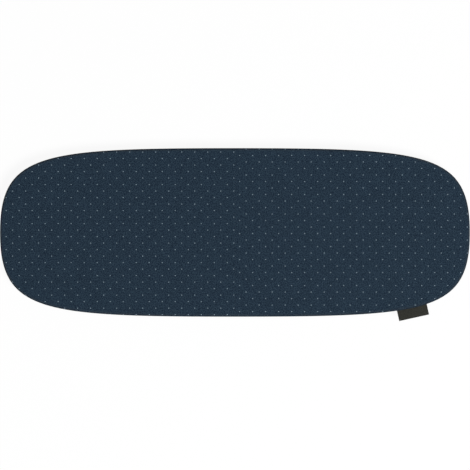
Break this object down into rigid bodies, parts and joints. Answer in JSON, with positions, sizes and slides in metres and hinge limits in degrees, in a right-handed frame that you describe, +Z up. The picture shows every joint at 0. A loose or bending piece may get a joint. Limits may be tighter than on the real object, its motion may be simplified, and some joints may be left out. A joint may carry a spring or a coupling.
{
  "type": "ironing board cover",
  "caption": "Padded oval ironing board cover: pin-dotted cotton face over foam and felt, a skirt turned in under the board by an elastic hem, and a blank side label.",
  "frame": {"origin": "centre of the felt face that lies on the board's top; the hem hangs 22.5 mm below it and the ironing face is 8.2 mm above it", "axes": "+Z up to the ironing side, X along the board's length, Y across it; the label stands out on the -Y side towards the +X end"},
  "size_m": [0.814, 0.2998, 0.0307],
  "materials": {
    "face_cloth": "matte",
    "foam": "matte",
    "felt": "matte",
    "skirt_cloth": "matte",
    "binding_tape": "matte",
    "elastic": "matte",
    "label_ribbon": "matte"
  },
  "bodies": {
    "cover": {"left_top_panel": "face_cloth", "right_top_panel": "face_cloth", "foam_pad": "foam", "felt_pad": "felt", "left_skirt_seam": "skirt_cloth", "left_skirt_far": "skirt_cloth", "left_skirt_far_corner": "skirt_cloth", "left_skirt_end": "skirt_cloth", "left_skirt_near_corner": "skirt_cloth", "left_skirt_near": "skirt_cloth", "left_skirt_underturn": "skirt_cloth", "right_skirt_seam": "skirt_cloth", "right_skirt_far": "skirt_cloth", "right_skirt_far_corner": "skirt_cloth", "right_skirt_end": "skirt_cloth", "right_skirt_near_corner": "skirt_cloth", "right_skirt_near": "skirt_cloth", "right_skirt_underturn": "skirt_cloth", "hem_binding": "binding_tape", "hem_elastic": "elastic"},
    "label": {"edge_label": "label_ribbon"}
  },
  "joints": [
    {"name": "label_flap", "type": "hinge", "parent": "cover", "child": "label", "pos_m": [0.30731, -0.13228, 0.00075], "axis": [-0.9766, -0.2151, 0], "range_deg": [-90, 90], "stiffness_Nm_per_rad": 0.0004}
  ]
}
